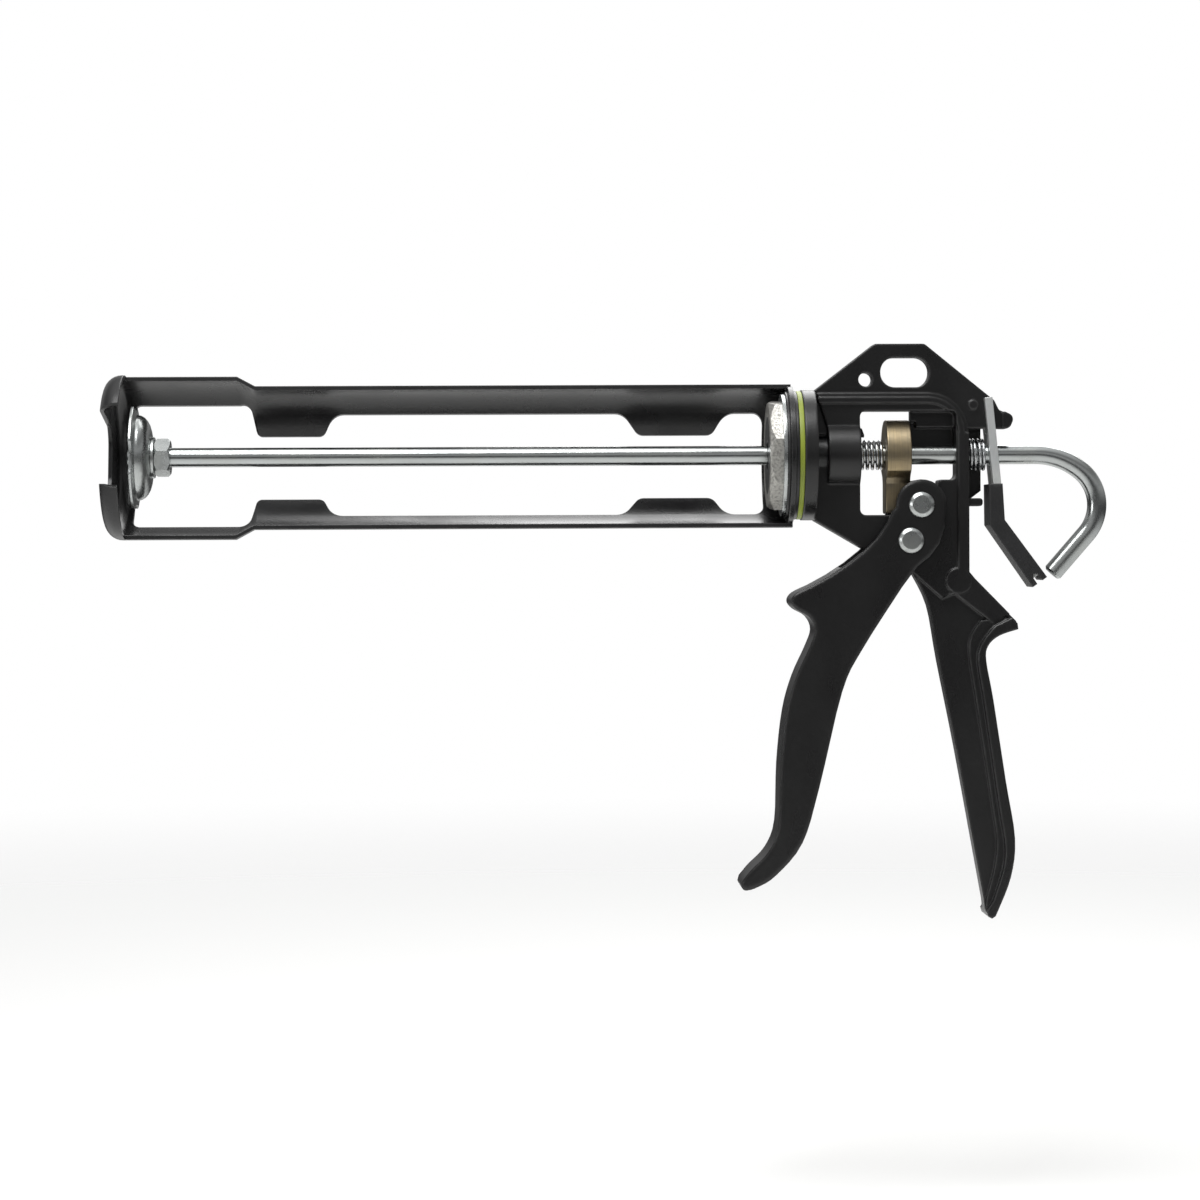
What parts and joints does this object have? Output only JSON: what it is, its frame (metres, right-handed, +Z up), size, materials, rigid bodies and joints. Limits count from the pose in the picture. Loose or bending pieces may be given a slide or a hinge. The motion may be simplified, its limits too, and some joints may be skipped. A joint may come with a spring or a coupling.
{
  "type": "caulking gun",
  "caption": "Rotating half-pipe frame caulking gun with push rod, hook, plunger, squeeze trigger and release lever.",
  "frame": {"origin": "rod axis at the front face of the cartridge frame's rear plate", "axes": "+X from the nozzle end along the push rod to its hook, +Y away from the frame's open side, +Z up with the handle hanging down; the pistol handle and trigger point to -Z"},
  "size_m": [0.3893, 0.0617, 0.2233],
  "materials": {
    "black_paint": "semi-gloss black powder coat",
    "die_cast_paint": "semi-gloss black paint on die-cast aluminium",
    "zinc_steel": "bright zinc-plated steel",
    "cast_nut": "rough unpolished steel",
    "black_washer": "blackened steel",
    "friction_ring": "yellow-green nylon",
    "bronze_block": "brushed, olive-bronze passivated steel",
    "grey_plastic": "dark grey moulded plastic",
    "spring_steel": "plated spring wire"
  },
  "bodies": {
    "body": {"body_casting": "die_cast_paint", "cradle_nut": "cast_nut", "steel_washer": "zinc_steel", "slide_washer": "black_washer", "backing_ring": "black_washer", "friction_ring": "friction_ring"},
    "cradle": {"cradle": "black_paint"},
    "plunger": {"plunger_plate": "zinc_steel", "plunger_washer": "zinc_steel"},
    "push_rod": {"push_rod": "zinc_steel", "plunger_nut": "zinc_steel", "plunger_front_nut": "zinc_steel"},
    "trigger": {"trigger": "die_cast_paint", "pivot_rivet": "zinc_steel", "drive_rivet": "zinc_steel", "drive_bushing": "zinc_steel"},
    "drive_block": {"drive_block": "bronze_block", "drive_spring": "spring_steel"},
    "release_lever": {"lock_plate": "zinc_steel", "lever_sleeve": "grey_plastic", "release_spring": "spring_steel"}
  },
  "joints": [
    {"name": "cradle_turn", "type": "hinge", "parent": "body", "child": "cradle", "pos_m": [0, 0, 0], "axis": [1, 0, 0], "continuous": true},
    {"name": "rod_slide", "type": "slide", "parent": "body", "child": "plunger", "axis": [1, 0, 0], "range_m": [0, 0.228]},
    {"name": "rod_turn", "type": "hinge", "parent": "plunger", "child": "push_rod", "pos_m": [0, 0, 0], "axis": [1, 0, 0], "continuous": true},
    {"name": "trigger_hinge", "type": "hinge", "parent": "body", "child": "trigger", "pos_m": [0.0472, 0, -0.0333], "axis": [0, -1, 0], "range_deg": [0, 28], "stiffness_Nm_per_rad": 0.4, "springref_deg": -22.92},
    {"name": "block_slide", "type": "slide", "parent": "body", "child": "drive_block", "axis": [-1, 0, 0], "range_m": [0, 0.007], "deforming": ["drive_spring"]},
    {"name": "release_hinge", "type": "hinge", "parent": "body", "child": "release_lever", "pos_m": [0.08, 0, 0.017], "axis": [0, 1, 0], "range_deg": [0, 2], "stiffness_Nm_per_rad": 0.2, "springref_deg": -11.46, "deforming": ["release_spring"]}
  ],
  "couplings": [
    {"joint": "block_slide", "follows": "trigger_hinge", "m_per_rad": 0.01424}
  ]
}
